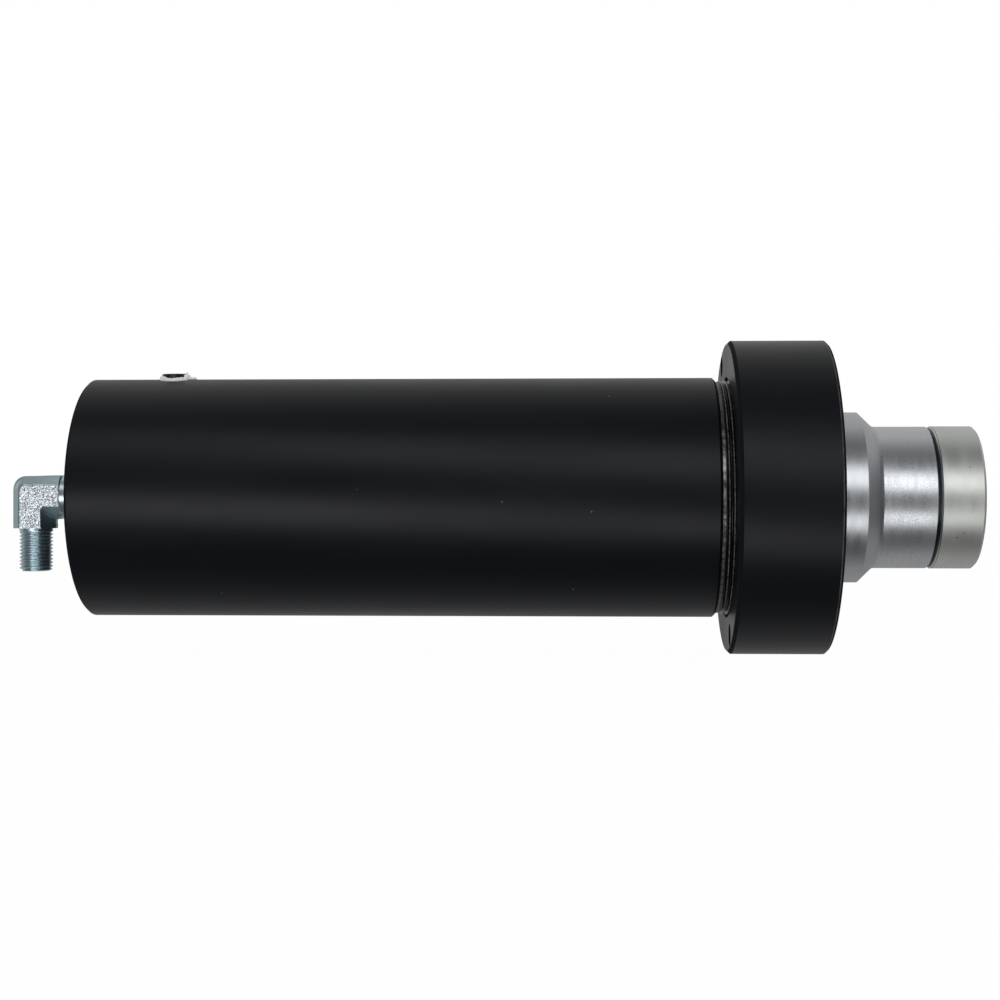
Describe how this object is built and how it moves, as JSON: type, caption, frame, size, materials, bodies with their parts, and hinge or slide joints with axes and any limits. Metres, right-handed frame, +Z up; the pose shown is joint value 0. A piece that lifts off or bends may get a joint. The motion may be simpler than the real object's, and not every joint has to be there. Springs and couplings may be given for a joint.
{
  "type": "hydraulic ram",
  "caption": "Single-acting hydraulic ram for a workshop press: black threaded barrel in a screwed mounting collar, spring-returned hollow ram with a loose saddle, rear oil elbow.",
  "frame": {"origin": "on the ram's axis, in the plane of the collar's seat face, at the centre of its bolt circle", "axes": "+X along the axis in the direction the ram pushes; +Z up as in the picture, so that the elbow's outlet points down along -Z and the side port is 5.5 degrees from +Z towards -Y"},
  "size_m": [0.4033, 0.1306, 0.1306],
  "materials": {
    "black_enamel": "satin black enamel",
    "turned_steel": "fine turned and ground",
    "zinc_plate": "clear zinc plating on turned steel",
    "zinc_forging": "clear zinc plating on a rough forging",
    "plain_steel": "machined, oiled",
    "grey_iron": "machined",
    "spring_wire": "oil tempered wire",
    "nitrile": "matt",
    "urethane": "satin",
    "phenolic": "woven fabric in resin",
    "sealing_tape": "soft white film"
  },
  "bodies": {
    "barrel_unit": {"barrel": "black_enamel", "mounting_collar": "black_enamel", "base_plug": "black_enamel", "base_o_ring": "nitrile", "base_backup_ring": "sealing_tape", "gland": "grey_iron", "gland_guide_band": "phenolic", "gland_o_ring": "nitrile", "wiper_seal": "urethane", "tie_rod": "plain_steel", "tie_rod_washer": "plain_steel", "tie_rod_nut": "plain_steel", "return_spring": "spring_wire", "port_plug": "black_enamel", "thread_tape": "sealing_tape", "elbow_fitting": "zinc_forging", "elbow_locknut": "zinc_plate", "elbow_washer": "zinc_plate"},
    "ram_unit": {"ram": "turned_steel", "piston": "plain_steel", "piston_lip_seal": "urethane", "piston_backup_ring": "sealing_tape", "piston_guide_band": "phenolic", "piston_lock_screw": "plain_steel", "ram_o_ring": "nitrile", "spring_seat": "plain_steel"},
    "saddle_unit": {"saddle": "zinc_plate", "saddle_snap_ring": "spring_wire"}
  },
  "joints": [
    {"name": "ram_slide", "type": "slide", "parent": "barrel_unit", "child": "ram_unit", "axis": [1, 0, 0], "range_m": [0, 0.16], "stiffness_N_per_m": 2600, "springref_m": -0.04, "deforming": ["return_spring"]},
    {"name": "saddle_swivel", "type": "hinge", "parent": "ram_unit", "child": "saddle_unit", "pos_m": [0.0834, 0, 0], "axis": [1, 0, 0], "continuous": true}
  ]
}
